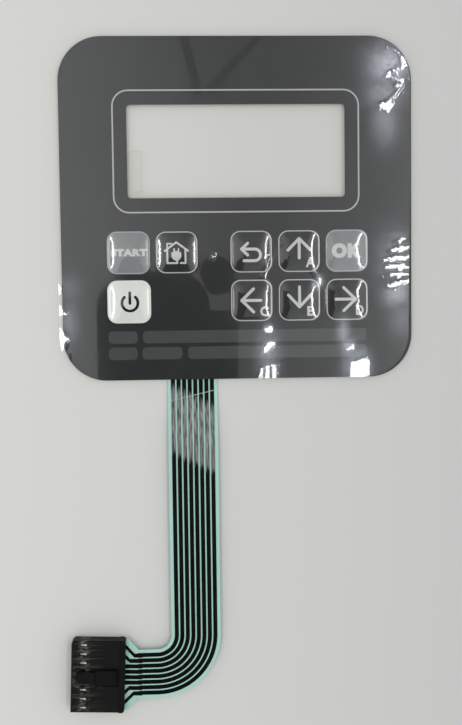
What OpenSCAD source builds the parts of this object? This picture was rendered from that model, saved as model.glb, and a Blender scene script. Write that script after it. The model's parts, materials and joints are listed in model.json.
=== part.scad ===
// Membrane keypad with a display window, nine embossed keys and a flat film
// tail that ends in an eight-way latching receptacle. Millimetres, +Z up.
// The origin is the centre of the panel on its rear face, and the panel lies
// face up. The window is towards +Y, and the tail leaves the -Y edge.

/* [Panel] */
// Width of the front overlay
panel_w = 97; // [94:1:120]
// Height of the front overlay
panel_h = 94; // [92:1:120]
// Corner radius of the overlay
panel_r = 12; // [6:0.5:16]
// How far the inner layers stop short of the overlay's edge
layer_inset = 0.3; // [0.1:0.1:1]

/* [Window] */
// Width of the clear display window
window_w = 60; // [40:1:66]
// Height of the clear display window
window_h = 25.4; // [16:0.2:27]
// Height of the window's centre above the panel's centre
window_y = 15.8; // [15.2:0.1:18]
// Corner radius of the window
window_r = 1; // [0.5:0.5:3]
// How far the hidden layers stand back from the window's printed edge
window_relief = 1; // [0.5:0.1:1.5]
// How far the clear adhesive reaches inside the window's printed edge
adhesive_lip = 0.5; // [0.2:0.1:1]
// Width of the clear adhesive's tab in the window's corner
tab_w = 3.3; // [2:0.1:6]
// Height of that tab
tab_h = 11.8; // [6:0.2:14]

/* [Keys] */
// Centre distance between neighbouring keys in a row
key_pitch_x = 13.3; // [12.6:0.1:14]
// Centre distance between the two rows
key_pitch_y = 13.5; // [12:0.1:15]
// Distance of the upper row below the panel's centre
upper_row_drop = 11.8; // [9:0.1:13]
// Centre of the first column, left of the panel's centre
left_column_x = 30.1; // [28:0.1:31]
// Centre of the arrow cluster, right of the panel's centre
arrow_cluster_x = 17.1; // [16:0.1:18]
// Side of the raised pad of a key at its foot
key_size = 10.6; // [8:0.1:11.4]
// Corner radius of the raised pad at its foot
key_r = 2.4; // [1.5:0.1:3]
// Height of the raised pad above the panel
emboss_rise = 0.45; // [0.2:0.05:0.6]
// Width of the rounded slope from a raised pad's foot to its flat top
emboss_run = 2.2; // [1.6:0.1:2.3]
// Width of the steeper outer part of that slope
emboss_foot_run = 0.8; // [0.5:0.05:1.2]

/* [Layers] */
// Thickness of the peel-off liner
liner_t = 0.12; // [0.05:0.01:0.3]
// Thickness of the rear mounting adhesive
rear_adhesive_t = 0.15; // [0.1:0.01:0.3]
// Thickness of the circuit film and its tail
circuit_t = 0.15; // [0.1:0.01:0.25]
// Thickness of the printed tracks
track_t = 0.03; // [0.01:0.01:0.06]
// Thickness of the dome spacer
spacer_t = 0.36; // [0.34:0.01:0.6]
// Thickness of the film that holds the domes
retainer_t = 0.1; // [0.05:0.01:0.2]
// Thickness of the adhesive under the overlay
overlay_adhesive_t = 0.1; // [0.05:0.01:0.2]
// Thickness of the printed ink under the overlay
ink_t = 0.03; // [0.02:0.01:0.06]
// Thickness of the overlay film
overlay_t = 0.2; // [0.125:0.025:0.3]
// Thickness of the protective film on the front
protective_t = 0.06; // [0.03:0.01:0.1]
// How far the protective film reaches past the overlay's left edge
protective_overhang = 0.9; // [0:0.1:2]
// How far the protective film stops short of the overlay's right edge
protective_short = 0.6; // [0:0.1:2]

/* [Domes] */
// Diameter of a snap dome
dome_d = 8.4; // [7:0.1:8.8]
// Free height of a snap dome
dome_rise = 0.32; // [0.2:0.01:0.33]
// Sheet thickness of a snap dome
dome_t = 0.06; // [0.04:0.01:0.1]
// Gap round a dome in the spacer's hole
dome_gap = 0.25; // [0.1:0.05:0.4]
// Width of the air channel between two dome holes
vent_w = 0.8; // [0.4:0.1:1.5]
// Diameter of the contact pad under a dome's middle
pad_d = 3; // [2:0.1:4]
// Width of the contact ring under a dome's rim
ring_w = 0.8; // [0.5:0.1:1.2]

/* [Tail] */
// Width of the tail
tail_w = 13.8; // [13:0.1:15]
// Distance of the tail's centre line left of the panel's centre
tail_x = 13; // [11:0.5:15]
// Length of the tail from the panel's edge to its bend
tail_run = 72; // [50:1:120]
// Radius of the bend on the tail's centre line
bend_r = 10.9; // [9:0.1:16]
// Length of the tail from its bend to the receptacle
side_run = 9.2; // [8:0.1:20]
// Length over which the tail lifts from the panel to the receptacle's level
lift_run = 24; // [15:1:40]
// Centre distance of the tracks on the tail
track_pitch = 1.55; // [1.45:0.01:1.62]
// Width of a track on the tail
track_w = 1; // [0.6:0.05:1.2]
// Width of a track inside the panel
inner_track_w = 0.7; // [0.4:0.05:0.9]
// Where the tail starts to widen, measured from the receptacle
flare_start = 3.7; // [3:0.1:5]
// Where the tail has its full width, measured from the receptacle
flare_end = 0.7; // [0.5:0.1:1.5]

/* [Receptacle] */
// Centre distance of the contacts
contact_pitch = 2.54; // [2.5:0.01:2.6]
// Length of the receptacle with its rear retainer
receptacle_l = 15; // [14.5:0.1:18]
// Width of the receptacle
receptacle_w = 20.4; // [20.2:0.1:22]
// Height of the housing without its latch
housing_h = 4.2; // [4.1:0.1:5]
// Angle at which the receptacle lies to the panel
receptacle_yaw = -2.2; // [-4:0.1:4]
// Length of the rear retainer
rear_l = 1.6; // [1.2:0.1:2]
// Edge chamfer of the housing
edge_cut = 0.3; // [0.1:0.05:0.5]
// Keying chamfer on one corner of the housing
key_cut = 0.8; // [0.4:0.1:1.2]
// Height of the film's underside where it enters the receptacle
film_level = 1.75; // [1.6:0.05:1.9]
// Distance from the receptacle's side to the film's tab inside it
tab_margin = 0.5; // [0.4:0.05:0.55]
// Thickness of the wall that the pins enter through
front_wall = 1; // [0.6:0.1:1.4]
// Clear width of a contact's cavity
cavity_w = 1.7; // [1.6:0.05:1.8]
// Clear width of a cavity round the crimp
crimp_cavity_w = 1.8; // [1.7:0.05:2]
// Side of the square pin entry
entry_w = 1.1; // [0.9:0.05:1.3]
// Depth of the funnel in front of a pin entry
lead_in = 0.4; // [0.2:0.05:0.6]
// Distance of the inspection windows from the mating face
inspection_x = 3.4; // [3:0.1:4.5]
// Length of an inspection window
inspection_l = 1.8; // [1.2:0.1:2.2]
// Width of an inspection window
inspection_w = 0.7; // [0.6:0.05:0.9]
// Width of the latch's bed in the housing
latch_bed_w = 5.4; // [5.2:0.1:6]
// Depth of the latch's bed
latch_bed_depth = 0.3; // [0.2:0.05:0.4]
// Distance of the latch's root from the mating face
latch_setback = 1.5; // [1:0.1:2]
// Length of the latch's root
latch_root_l = 2.2; // [1.5:0.1:2.6]
// Distance of the latch's catch from the mating face
catch_setback = 6.2; // [5.6:0.1:7]
// Gap between the latch's end and the rear retainer
latch_end_gap = 0.6; // [0.4:0.1:1.2]
// Width of the latch at its root
latch_root_w = 3.4; // [3:0.1:3.8]
// Width of the latch at its thumb pad
latch_pad_w = 4.3; // [4:0.1:4.8]
// Thickness of the latch arm
latch_t = 0.7; // [0.5:0.05:1]
// Gap under the latch arm
latch_gap = 0.5; // [0.3:0.05:0.8]
// Height of the latch's catch above its arm
catch_h = 0.5; // [0.3:0.05:0.8]
// Length of the rear retainer's side lugs
lug_l = 1.8; // [1.2:0.1:2.4]
// Width of a side lug
lug_w = 0.5; // [0.3:0.05:0.6]
// Height of a side lug
lug_h = 0.8; // [0.5:0.05:0.9]
// Height of a side lug's foot above the receptacle's underside
lug_z = 0.35; // [0.3:0.05:0.5]

/* [Contacts] */
// Sheet thickness of a contact
contact_t = 0.2; // [0.15:0.01:0.25]
// Outer width of a contact's box
contact_w = 1.3; // [1.1:0.05:1.4]
// Outer height of a contact's box
contact_h = 1.8; // [1.5:0.05:1.85]
// Height of a contact's lance above its box
lance_h = 0.35; // [0.2:0.05:0.4]
// Gap between the rear retainer and the crimp
crimp_setback = 0.7; // [0.4:0.1:1]
// Length of the crimp
crimp_l = 3.6; // [3:0.1:4]
// Width of the crimp plate under the film
crimp_w = 1.4; // [1.2:0.05:1.45]
// Width of one crimp staple along the film
staple_w = 0.35; // [0.25:0.05:0.5]
// How far the film reaches past the crimp
film_past_crimp = 0.3; // [0.1:0.05:0.5]
// Gap between the film's end and the contact's box
box_setback = 0.4; // [0.2:0.05:0.8]
// Gap between the wall that the pins enter through and the contact's box
box_front_gap = 0.7; // [0.3:0.1:1]

/* [Hidden] */
$fn = 64;
eps = 0.01;
TRACKS = 8;

// Heights of the layers' lower faces, from the rear face up
rear_adhesive_z = liner_t;
circuit_z = rear_adhesive_z + rear_adhesive_t;
track_z = circuit_z + circuit_t;
spacer_z = track_z + track_t;
retainer_z = spacer_z + spacer_t;
overlay_adhesive_z = retainer_z + retainer_t;
ink_z = overlay_adhesive_z + overlay_adhesive_t;
overlay_z = ink_z + ink_t;
front_z = overlay_z + overlay_t;

// Key columns from left to right, and the two rows
column_x = [
    -left_column_x, -left_column_x + key_pitch_x,
    arrow_cluster_x - key_pitch_x, arrow_cluster_x, arrow_cluster_x + key_pitch_x
];
upper_y = -upper_row_drop;
lower_y = upper_y - key_pitch_y;
UPPER_COLUMNS = [0, 1, 2, 3, 4];
LOWER_COLUMNS = [0, 2, 3, 4];
KEY_PLACES = concat(
    [for (c = UPPER_COLUMNS) [column_x[c], upper_y]],
    [for (c = LOWER_COLUMNS) [column_x[c], lower_y]]
);

// The slope keeps clear of the middles of a raised pad's corners
pad_run = min(emboss_run, key_r - 0.1);

// Contact ring under a dome, with a gap for the track that passes through it
ring_r = dome_d / 2;
ring_gap = 2 * inner_track_w;

// The tracks fan out above the tail on four levels, the first one this far inside the edge
fan_start = 2.2;
fan_step = 1.5;
// Distance of the first row's track from the rings that it passes
bypass_gap = 2.4;

// Tail route seen from above
tail_top_y = -panel_h / 2;
bend_y = tail_top_y - tail_run;
bend_x = -tail_x - bend_r;
receptacle_x = bend_x - side_run;
receptacle_y = bend_y - bend_r;

// The outer tracks slant outwards first: where a track turns, in steps from the middle
// pair, and how far it moves sideways for each millimetre along the film
flare_first = 1.925;
flare_step = 1.25;
flare_slope = 1.04;

// Receptacle, in its own frame: the rear face is at x = 0 and the mating face at -receptacle_l
mating_x = -receptacle_l;
housing_rear_x = -rear_l;
film_top = film_level + circuit_t;
crimp_start_x = housing_rear_x - crimp_setback;
crimp_end_x = crimp_start_x - crimp_l;
film_end_x = crimp_end_x - film_past_crimp;
box_rear_x = film_end_x - box_setback;
cavity_front_x = mating_x + front_wall;
box_front_x = cavity_front_x + box_front_gap;
inspection_mid_x = mating_x + inspection_x;
contact_base_z = film_level - contact_t;
pin_z = contact_base_z + contact_h / 2;
latch_root_x = mating_x + latch_setback;
latch_end_x = housing_rear_x - latch_end_gap;
catch_x = mating_x + catch_setback;
latch_z = housing_h - latch_bed_depth;
latch_top_z = latch_z + latch_gap + latch_t;

// Clearances round the contacts, round the film's tab and between the lugs and their notches
cavity_clear = 0.15;
film_clear = 0.06;
lug_clear = 0.05;
cavity_z = contact_base_z - cavity_clear;
cavity_top_z = contact_base_z + contact_h + cavity_clear;

// The film's tab, its slot in the receptacle, and the gap behind its shoulders
tab_half_w = receptacle_w / 2 - tab_margin;
tab_slot_h = circuit_t + track_t + 2 * film_clear;
shoulder_gap = 0.15;

// Offset of track or contact i from the middle, in pitches, counted from +Y
function rank(i) = (TRACKS - 1) / 2 - i;

// Underside of the tail at distance d from the panel's edge, an easy S-curve
function tail_z(d) =
    let (t = min(1, max(0, d / lift_run)))
    circuit_z + (film_level - circuit_z) * (1 - cos(180 * t)) / 2;

// Side profile of a strip on the straight tail, between two heights above its underside
LIFT_STEPS = 24;
function lift_stations() = concat(
    [for (k = [0:LIFT_STEPS]) lift_run * k / LIFT_STEPS], [tail_run]
);
function strip_profile(low, high) = concat(
    [for (d = lift_stations()) [tail_top_y - d, tail_z(d) + low]],
    [for (k = [LIFT_STEPS + 1:-1:0]) let (d = lift_stations()[k]) [tail_top_y - d, tail_z(d) + high]]
);

// A rectangle with round corners, centred
module round_rect(w, h, r) {
    square([w - 2 * r, h], center = true);
    square([w, h - 2 * r], center = true);
    for (sx = [-1, 1], sy = [-1, 1])
        translate([sx * (w / 2 - r), sy * (h / 2 - r)]) circle(r);
}

// Outline of the panel, made smaller all round by inset
module panel_outline(inset = 0) {
    round_rect(panel_w - 2 * inset, panel_h - 2 * inset, panel_r - inset);
}

// The display window, made larger all round by grow
module window_outline(grow = 0) {
    translate([0, window_y])
        round_rect(window_w + 2 * grow, window_h + 2 * grow, max(0.2, window_r + grow));
}

// A flat layer of the panel with the window left open
module window_layer(z, t, inset, grow) {
    translate([0, 0, z]) linear_extrude(t) difference() {
        panel_outline(inset);
        window_outline(grow);
    }
}

// A raised pad like a flat pillow, its slope in a steep and a gentle part, its foot at z = 0
module raised_pad(rise) {
    half = key_size / 2;
    waist_r = key_r - emboss_foot_run;
    module roof() {
        rotate([90, 0, 0]) linear_extrude(key_size - 2 * key_r, center = true) polygon([
            [-half, 0], [half, 0], [half - emboss_foot_run, rise / 2], [half - pad_run, rise],
            [pad_run - half, rise], [emboss_foot_run - half, rise / 2]
        ]);
    }
    roof();
    rotate([0, 0, 90]) roof();
    for (sx = [-1, 1], sy = [-1, 1]) translate([sx * (half - key_r), sy * (half - key_r), 0]) {
        cylinder(h = rise / 2, r1 = key_r, r2 = waist_r);
        translate([0, 0, rise / 2]) cylinder(h = rise / 2, r1 = waist_r, r2 = key_r - pad_run);
    }
}

// Everything behind the panel's skin at a depth below its front face
module behind_skin(depth) {
    for (p = KEY_PLACES)
        translate([p[0], p[1], front_z - depth - eps]) raised_pad(emboss_rise + eps);
}

// One sheet of the embossed skin between two depths
module skin_sheet(from_depth, to_depth) {
    difference() {
        union() {
            translate([0, 0, front_z - to_depth]) linear_extrude(to_depth - from_depth) children();
            behind_skin(from_depth);
        }
        behind_skin(to_depth);
        translate([0, 0, front_z - to_depth - emboss_rise])
            linear_extrude(emboss_rise) square([2 * panel_w, 2 * panel_h], center = true);
    }
}

module release_liner() {
    color("#e9e6dc") window_layer(0, liner_t, 0, window_relief);
}

module rear_adhesive() {
    color("#d8d8d2") window_layer(rear_adhesive_z, rear_adhesive_t, layer_inset, window_relief);
}

// Places what is drawn in the receptacle's own frame
module at_receptacle() {
    translate([receptacle_x, receptacle_y, 0]) rotate([0, 0, receptacle_yaw]) children();
}

// Quarter bend of a strip whose centre line lies at radius r
module bend_strip(r, w, z, t) {
    translate([bend_x, bend_y, z]) rotate([0, 0, -90])
        rotate_extrude(angle = 90) translate([r - w / 2, 0]) square([w, t]);
}

// Widened end of the tail with its shoulders and the tab in the receptacle
module flare_outline() {
    polygon([
        [flare_start + 1, tail_w / 2], [flare_start, tail_w / 2],
        [flare_end, receptacle_w / 2], [shoulder_gap, receptacle_w / 2],
        [shoulder_gap, tab_half_w], [film_end_x, tab_half_w],
        [film_end_x, -tab_half_w], [shoulder_gap, -tab_half_w],
        [shoulder_gap, -receptacle_w / 2], [flare_end, -receptacle_w / 2],
        [flare_start, -tail_w / 2], [flare_start + 1, -tail_w / 2]
    ]);
}

// Places along one crimp, one for each staple
STAPLES = 3;
staple_pitch = crimp_l / STAPLES;
leg_y = (crimp_w - contact_t) / 2 - 0.05;
leg_clear = 0.05;
function staple_x(k) = crimp_start_x - staple_pitch * (k + 0.5);

// Slots that the crimp's legs pass through
module staple_slots() {
    for (i = [0:TRACKS - 1], k = [0:STAPLES - 1], side = [-1, 1])
        translate([staple_x(k), rank(i) * contact_pitch + side * leg_y])
            square([staple_w + 2 * leg_clear, contact_t + 2 * leg_clear], center = true);
}

module circuit_film() {
    color("#a9d4c6") {
        window_layer(circuit_z, circuit_t, layer_inset, window_relief);
        translate([-tail_x, 0, 0]) rotate([90, 0, 90])
            linear_extrude(tail_w, center = true) polygon(strip_profile(0, circuit_t));
        translate([-tail_x - tail_w / 2, tail_top_y - eps, circuit_z])
            cube([tail_w, 2 * layer_inset + eps, circuit_t]);
        bend_strip(bend_r, tail_w, film_level, circuit_t);
        translate([receptacle_x + flare_start, receptacle_y - tail_w / 2, film_level])
            cube([side_run - flare_start, tail_w, circuit_t]);
        at_receptacle() translate([0, 0, film_level]) linear_extrude(circuit_t) difference() {
            flare_outline();
            staple_slots();
        }
    }
}

// Straight tracks between two corners of a route
module track_v(x, y0, y1) {
    translate([x - inner_track_w / 2, min(y0, y1)]) square([inner_track_w, abs(y1 - y0)]);
}
module track_h(y, x0, x1) {
    translate([min(x0, x1) - inner_track_w / 2, y - inner_track_w / 2])
        square([abs(x1 - x0) + inner_track_w, inner_track_w]);
}

// A route from the tail's track i up to height y at column x
module fan_route(i, level, x, y) {
    start_x = -tail_x - rank(i) * track_pitch;
    turn_y = tail_top_y + fan_start + level * fan_step;
    track_v(start_x, tail_top_y, turn_y);
    track_h(turn_y, start_x, x);
    track_v(x, turn_y, y);
}

// Contact ring and middle pad under one dome, with gaps for the column's track
module key_contact(p, open_top) {
    translate(p) {
        circle(pad_d / 2);
        difference() {
            circle(ring_r);
            circle(ring_r - ring_w);
            translate([-ring_gap / 2, -ring_r - 1]) square([ring_gap, ring_r + 1]);
            if (open_top) translate([-ring_gap / 2, 0]) square([ring_gap, ring_r + 1]);
        }
    }
}

// The switch matrix: columns join the pads, rows join the rings, and no track crosses another
module matrix_outline() {
    link = ring_r - ring_w / 2;
    bypass_x = column_x[0] - ring_r - bypass_gap;
    power_side_x = column_x[0] + ring_r + bypass_gap / 2;
    lower_link_x = (column_x[2] + column_x[3]) / 2;
    for (c = UPPER_COLUMNS) key_contact([column_x[c], upper_y], false);
    for (c = LOWER_COLUMNS) key_contact([column_x[c], lower_y], true);
    fan_route(0, 0, bypass_x, upper_y);
    track_h(upper_y, bypass_x, column_x[0] - link);
    fan_route(1, 1, column_x[0], upper_y);
    fan_route(2, 2, power_side_x, lower_y);
    track_h(lower_y, column_x[0] + link, power_side_x);
    fan_route(3, 3, column_x[1], upper_y);
    fan_route(4, 3, column_x[2], upper_y);
    fan_route(5, 2, lower_link_x, lower_y);
    fan_route(6, 1, column_x[3], upper_y);
    fan_route(7, 0, column_x[4], upper_y);
    for (c = [0:3]) track_h(upper_y, column_x[c] + link, column_x[c + 1] - link);
    for (c = [2:3]) track_h(lower_y, column_x[c] + link, column_x[c + 1] - link);
}

// One track from the bend to its contact, in the receptacle's frame
module flare_track(i) {
    reach = abs(rank(i));
    y0 = rank(i) * track_pitch;
    y1 = rank(i) * contact_pitch;
    x0 = flare_step * reach - flare_first;
    x1 = x0 - abs(y1 - y0) / flare_slope;
    half = track_w / 2;
    end_half = leg_y - contact_t / 2 - 2 * leg_clear;
    polygon([
        [flare_start + 1, y0 + half], [x0, y0 + half], [x1, y1 + half], [x1 - half, y1 + end_half],
        [crimp_end_x, y1 + end_half], [crimp_end_x, y1 - end_half],
        [x1 - half, y1 - end_half], [x1, y1 - half], [x0, y0 - half], [flare_start + 1, y0 - half]
    ]);
}

module conductor_tracks() {
    color("#101010") {
        translate([0, 0, track_z]) linear_extrude(track_t) matrix_outline();
        for (i = [0:TRACKS - 1]) {
            translate([-tail_x - rank(i) * track_pitch, 0, 0]) rotate([90, 0, 90])
                linear_extrude(track_w, center = true)
                    polygon(strip_profile(circuit_t, circuit_t + track_t));
            bend_strip(bend_r - rank(i) * track_pitch, track_w, film_top, track_t);
            translate([
                receptacle_x + flare_start, receptacle_y + rank(i) * track_pitch - track_w / 2, film_top
            ]) cube([side_run - flare_start, track_w, track_t]);
            at_receptacle() translate([0, 0, film_top]) linear_extrude(track_t) flare_track(i);
        }
    }
}

module dome_spacer() {
    hole_r = dome_d / 2 + dome_gap;
    color("#cfd6d2") translate([0, 0, spacer_z]) linear_extrude(spacer_t) difference() {
        panel_outline(layer_inset);
        window_outline(window_relief);
        for (p = KEY_PLACES) translate(p) circle(hole_r);
        translate([column_x[0], upper_y - vent_w / 2])
            square([column_x[4] - column_x[0], vent_w]);
        translate([column_x[2], lower_y - vent_w / 2])
            square([column_x[4] - column_x[2], vent_w]);
        for (c = [0, 2])
            translate([column_x[c] - vent_w / 2, lower_y]) square([vent_w, key_pitch_y]);
    }
}

// Height of a dome's outer face at distance r from its axis, on a sphere through rim and crown
DOME_STEPS = 14;
dome_outer_r = (dome_d * dome_d / 4 + dome_rise * dome_rise) / (2 * dome_rise);
function dome_height(r) = dome_rise - dome_outer_r + sqrt(dome_outer_r * dome_outer_r - r * r);

// A shallow spherical snap dome that stands on its contact ring, its rim turned down flat
module snap_dome(p) {
    half = dome_d / 2;
    rim = 2 * dome_t;
    color("#c9ccd0") translate([p[0], p[1], spacer_z]) rotate_extrude() polygon(concat(
        [for (k = [0:DOME_STEPS]) let (r = (half - rim) * k / DOME_STEPS) [r, dome_height(r)]],
        [[half, dome_t], [half, 0], [half - 2 * rim, 0]],
        [for (k = [DOME_STEPS - 1:-1:0])
            let (r = (half - 2 * rim) * k / DOME_STEPS) [r, dome_height(r) - dome_t]]
    ));
}

module dome_retainer() {
    color("#dfe5e3") window_layer(retainer_z, retainer_t, layer_inset, window_relief);
}

// The clear adhesive ends just inside the printed window, with a small tab in the lower left
module overlay_adhesive() {
    color("#e6e9e6") translate([0, 0, overlay_adhesive_z]) linear_extrude(overlay_adhesive_t)
    difference() {
        panel_outline(layer_inset);
        difference() {
            window_outline(-adhesive_lip);
            translate([-window_w / 2, window_y - window_h / 2])
                square([adhesive_lip + tab_w, adhesive_lip + tab_h]);
        }
        for (p = KEY_PLACES) translate(p) round_rect(key_size, key_size, key_r);
    }
}

module ink_layer() {
    color("#2e2f31") skin_sheet(overlay_t, overlay_t + ink_t) difference() {
        panel_outline(0);
        window_outline(0);
    }
}

module graphic_overlay() {
    color("#b9c2c6", 0.35) skin_sheet(0, overlay_t) panel_outline(0);
}

// Loose clear film over the front, a little to the left of the overlay
module protective_film() {
    w = panel_w + protective_overhang - protective_short;
    x = -(protective_overhang + protective_short) / 2;
    color("#e8eef0", 0.25) skin_sheet(-protective_t, 0)
        translate([x, 0]) round_rect(w, panel_h, panel_r);
}

// The housing's block: side, end and plan outlines cut each other
module housing_block() {
    l = receptacle_l - rear_l;
    half_w = receptacle_w / 2;
    intersection() {
        translate([0, half_w + 1, 0]) rotate([90, 0, 0])
            linear_extrude(receptacle_w + 2) polygon([
                [mating_x + edge_cut, 0], [housing_rear_x, 0], [housing_rear_x, housing_h],
                [mating_x + edge_cut, housing_h], [mating_x, housing_h - edge_cut], [mating_x, edge_cut]
            ]);
        translate([mating_x - 1, 0, 0]) rotate([90, 0, 90]) linear_extrude(l + 2) polygon([
            [-half_w + edge_cut, 0], [half_w - edge_cut, 0], [half_w, edge_cut],
            [half_w, housing_h - edge_cut], [half_w - edge_cut, housing_h],
            [-half_w + edge_cut, housing_h], [-half_w, housing_h - edge_cut], [-half_w, edge_cut]
        ]);
        translate([0, 0, -1]) linear_extrude(housing_h + 2) polygon([
            [mating_x, -half_w], [housing_rear_x, -half_w], [housing_rear_x, half_w],
            [mating_x + key_cut, half_w], [mating_x, half_w - key_cut]
        ]);
    }
}

// One contact's cavity: pin entry, box chamber, crimp chamber and inspection window
module contact_cavity() {
    translate([cavity_front_x, -cavity_w / 2, cavity_z])
        cube([housing_rear_x - cavity_front_x + 1, cavity_w, cavity_top_z - cavity_z]);
    translate([film_end_x - cavity_clear, -crimp_cavity_w / 2, cavity_z])
        cube([housing_rear_x - film_end_x + 1, crimp_cavity_w, cavity_top_z - cavity_z]);
    translate([mating_x - 1, -entry_w / 2, pin_z - entry_w / 2])
        cube([front_wall + 1 + eps, entry_w, entry_w]);
    translate([mating_x - eps, 0, pin_z]) rotate([0, 90, 0]) rotate([0, 0, 45])
        cylinder(h = lead_in, r1 = (entry_w + lead_in) / sqrt(2), r2 = entry_w / sqrt(2), $fn = 4);
    translate([inspection_mid_x - inspection_l / 2, -inspection_w / 2, cavity_top_z - eps])
        cube([inspection_l, inspection_w, housing_h]);
}

// The latch: a cantilever rooted near the mating face, with a catch and a ridged thumb pad
module latch() {
    foot_z = latch_z - latch_bed_depth / 3;
    root_end_x = latch_root_x + latch_root_l;
    root_top_r = 0.4;
    ridge_h = 0.2;
    ridge_l = 0.9;
    catch_back = 0.5;
    catch_front = 0.3;
    catch_ramp = 1.1;
    pad_x = catch_x + 1.2;
    half_root = latch_root_w / 2;
    half_pad = latch_pad_w / 2;
    pad_taper = 0.15;
    intersection() {
        translate([0, latch_bed_w / 2, 0]) rotate([90, 0, 0]) linear_extrude(latch_bed_w) polygon([
            [latch_root_x, foot_z], [root_end_x, foot_z],
            [root_end_x + latch_gap, latch_z + latch_gap], [latch_end_x, latch_z + latch_gap],
            [latch_end_x, latch_top_z - ridge_h], [latch_end_x - ridge_h, latch_top_z + ridge_h],
            [latch_end_x - ridge_l + ridge_h, latch_top_z + ridge_h],
            [latch_end_x - ridge_l, latch_top_z], [catch_x + catch_back, latch_top_z],
            [catch_x + catch_back, latch_top_z + catch_h],
            [catch_x - catch_front, latch_top_z + catch_h],
            [catch_x - catch_front - catch_ramp, latch_top_z],
            [latch_root_x + root_top_r, latch_top_z], [latch_root_x, latch_top_z - root_top_r]
        ]);
        translate([0, 0, foot_z - eps]) linear_extrude(latch_top_z + catch_h) union() {
            translate([latch_root_x + half_root, 0]) circle(half_root);
            polygon([
                [latch_root_x + half_root, -half_root], [catch_x + catch_back, -half_root],
                [pad_x, -half_pad + pad_taper], [latch_end_x + 1, -half_pad],
                [latch_end_x + 1, half_pad], [pad_x, half_pad - pad_taper],
                [catch_x + catch_back, half_root], [latch_root_x + half_root, half_root]
            ]);
        }
    }
}

// Side lugs of the rear retainer, grown by a clearance for the notches they snap into
module retainer_lugs(grow) {
    for (side = [-1, 1])
        translate([
            housing_rear_x - lug_l - grow, side * (receptacle_w - lug_w) / 2 - lug_w / 2 - grow, lug_z - grow
        ]) cube([lug_l + 2 * grow, lug_w + 2 * grow, lug_h + 2 * grow]);
}

module connector_housing() {
    bed_margin = 0.5;
    bed_l = latch_end_x - latch_root_x + 2 * bed_margin;
    color("#232425") at_receptacle() {
        difference() {
            housing_block();
            for (i = [0:TRACKS - 1]) translate([0, rank(i) * contact_pitch, 0]) contact_cavity();
            translate([film_end_x - cavity_clear, -tab_half_w - film_clear, film_level - film_clear])
                cube([housing_rear_x - film_end_x + 1, 2 * (tab_half_w + film_clear), tab_slot_h]);
            translate([latch_root_x - bed_margin, -latch_bed_w / 2, latch_z])
                cube([bed_l, latch_bed_w, housing_h]);
            retainer_lugs(lug_clear);
        }
        latch();
    }
}

// The rear retainer stands a little proud of the housing's sides and short of its top and foot
module rear_retainer() {
    proud = 0.1;
    foot_z = 0.15;
    corner = rear_l / 2;
    half_w = receptacle_w / 2 + proud;
    color("#1b1c1d") at_receptacle() difference() {
        union() {
            translate([0, 0, foot_z]) linear_extrude(housing_h - proud - foot_z) union() {
                translate([housing_rear_x, -half_w]) square([rear_l - corner, 2 * half_w]);
                translate([housing_rear_x, -half_w + corner]) square([rear_l, 2 * (half_w - corner)]);
                for (side = [-1, 1])
                    translate([-corner, side * (half_w - corner)]) circle(corner);
            }
            translate([eps, 0, 0]) retainer_lugs(0);
        }
        translate([housing_rear_x - 1, -tab_half_w - film_clear, film_level - film_clear])
            cube([rear_l + 2, 2 * (tab_half_w + film_clear), tab_slot_h]);
    }
}

// One stamped contact: a box for the pin, a lance in the window, and a crimp through the film
module contact(number) {
    half = contact_w / 2;
    floor_z = contact_base_z + contact_t;
    roof_z = contact_base_z + contact_h - contact_t;
    box_l = box_rear_x - box_front_x;
    leg_top = film_top + track_t + contact_t;
    lance_w = inspection_w - cavity_clear;
    lance_l = inspection_l - cavity_clear;
    lance_z = contact_base_z + contact_h + lance_h;
    spring_w = contact_w / 2;
    spring_t = 0.75 * contact_t;
    spring_z = pin_z - entry_w / 4;
    color("#d9d6cb") at_receptacle() translate([0, rank(number - 1) * contact_pitch, 0]) {
        translate([box_front_x, -half, contact_base_z])
            cube([crimp_start_x - box_front_x, contact_w, contact_t]);
        for (side = [-1, 1])
            translate([box_front_x, side * (half - contact_t / 2) - contact_t / 2, contact_base_z])
                cube([box_l, contact_t, contact_h]);
        translate([box_front_x, -half, roof_z]) cube([box_l, contact_w, contact_t]);
        // The lance leans out of the roof into the inspection window
        translate([inspection_mid_x, lance_w / 2, 0]) rotate([90, 0, 0]) linear_extrude(lance_w) polygon([
            [-lance_l / 2, roof_z + contact_t / 2], [lance_l / 2, roof_z + contact_t / 2],
            [lance_l / 2, lance_z], [lance_l / 2 - 2 * contact_t, lance_z]
        ]);
        // The spring inside bows up from the floor to press on the pin
        translate([0, spring_w / 2, 0]) rotate([90, 0, 0]) linear_extrude(spring_w) polygon([
            [box_rear_x - contact_t, floor_z - eps], [box_rear_x - 5 * contact_t, floor_z - eps],
            [inspection_mid_x, spring_z - spring_t],
            [box_front_x + 2 * contact_t, floor_z + spring_t],
            [box_front_x + 2 * contact_t, floor_z + 2 * spring_t], [inspection_mid_x, spring_z]
        ]);
        translate([crimp_end_x, -crimp_w / 2, contact_base_z]) cube([crimp_l, crimp_w, contact_t]);
        for (k = [0:STAPLES - 1]) translate([staple_x(k) - staple_w / 2, 0, 0]) {
            for (side = [-1, 1])
                translate([0, side * leg_y - contact_t / 2, contact_base_z])
                    cube([staple_w, contact_t, leg_top - contact_base_z]);
            translate([0, -leg_y, film_top + track_t]) cube([staple_w, 2 * leg_y, contact_t]);
        }
    }
}

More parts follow.
